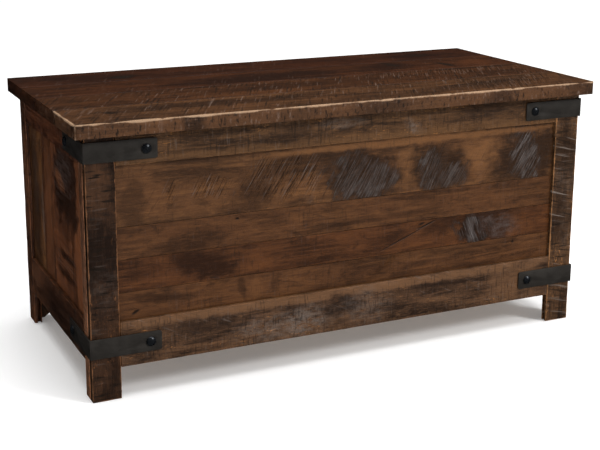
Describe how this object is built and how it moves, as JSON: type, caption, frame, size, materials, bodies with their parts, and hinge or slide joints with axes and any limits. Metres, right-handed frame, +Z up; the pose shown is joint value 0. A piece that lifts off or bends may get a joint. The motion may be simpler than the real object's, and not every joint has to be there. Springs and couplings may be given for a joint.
{
  "type": "wooden chest",
  "caption": "Low rectangular storage chest with frame-and-panel walls, a thick overhanging hinged lid, iron corner straps with domed bolts, and a slotted lid stay.",
  "frame": {"origin": "on the floor, under the centre of the lid's rectangle", "axes": "+X to the chest's right, +Y to its back, +Z up; the front faces -Y"},
  "size_m": [1.175, 0.565, 0.5587],
  "materials": {
    "stained_frame": "rough-sawn, dark walnut stain, matt",
    "stained_panel": "planed in part, dark walnut stain, low sheen",
    "lid_wood": "dark walnut stain, satin, worn arrises",
    "inner_wood": "planed, lightly stained",
    "black_iron": "matt dark bronze-black",
    "bolt_iron": "semi-gloss black",
    "antique_brass": "dulled, antique"
  },
  "bodies": {
    "case": {"front_stile_left": "stained_frame", "front_stile_right": "stained_frame", "front_rail_top": "stained_frame", "front_rail_bottom": "stained_frame", "front_board_1": "stained_panel", "front_board_2": "stained_panel", "front_board_3": "stained_panel", "front_board_4": "stained_panel", "left_stile_front": "stained_frame", "left_stile_back": "stained_frame", "left_rail_top": "stained_frame", "left_rail_bottom": "stained_frame", "left_board_1": "stained_panel", "left_board_2": "stained_panel", "left_board_3": "stained_panel", "right_stile_front": "stained_frame", "right_stile_back": "stained_frame", "right_rail_top": "stained_frame", "right_rail_bottom": "stained_frame", "right_board_1": "stained_panel", "right_board_2": "stained_panel", "right_board_3": "stained_panel", "back_stile_right": "stained_frame", "back_stile_left": "stained_frame", "back_rail_top": "stained_frame", "back_rail_bottom": "stained_frame", "back_board_1": "stained_panel", "back_board_2": "stained_panel", "back_board_3": "stained_panel", "floor_cleat_front": "inner_wood", "floor_cleat_back": "inner_wood", "floor_panel": "inner_wood", "strap_lower_left": "black_iron", "bolt_lower_left_front": "bolt_iron", "bolt_lower_left_side": "bolt_iron", "strap_upper_left": "black_iron", "bolt_upper_left_front": "bolt_iron", "bolt_upper_left_side": "bolt_iron", "strap_lower_right": "black_iron", "bolt_lower_right_front": "bolt_iron", "bolt_lower_right_side": "bolt_iron", "strap_upper_right": "black_iron", "bolt_upper_right_front": "bolt_iron", "bolt_upper_right_side": "bolt_iron", "hinge_case_leaf_left": "antique_brass", "hinge_pin_left": "antique_brass", "hinge_case_leaf_right": "antique_brass", "hinge_pin_right": "antique_brass", "stay_guide": "antique_brass"},
    "lid": {"lid_plank_1": "lid_wood", "lid_plank_2": "lid_wood", "lid_plank_3": "lid_wood", "lid_plank_4": "lid_wood", "lid_batten_left": "lid_wood", "hinge_lid_leaf_left": "antique_brass", "lid_batten_right": "lid_wood", "hinge_lid_leaf_right": "antique_brass", "stay_lid_bracket": "antique_brass"},
    "stay_arm": {"stay_arm": "antique_brass"}
  },
  "joints": [
    {"name": "lid_hinge", "type": "hinge", "parent": "case", "child": "lid", "pos_m": [0, 0.26625, 0.526], "axis": [-1, 0, 0], "range_deg": [0, 100]},
    {"name": "stay_swing", "type": "hinge", "parent": "lid", "child": "stay_arm", "pos_m": [0.534, 0.08653, 0.516], "axis": [-1, 0, 0], "range_deg": [-50, 0]}
  ],
  "couplings": [
    {"joint": "stay_swing", "follows": "lid_hinge", "ratio": -0.5}
  ]
}
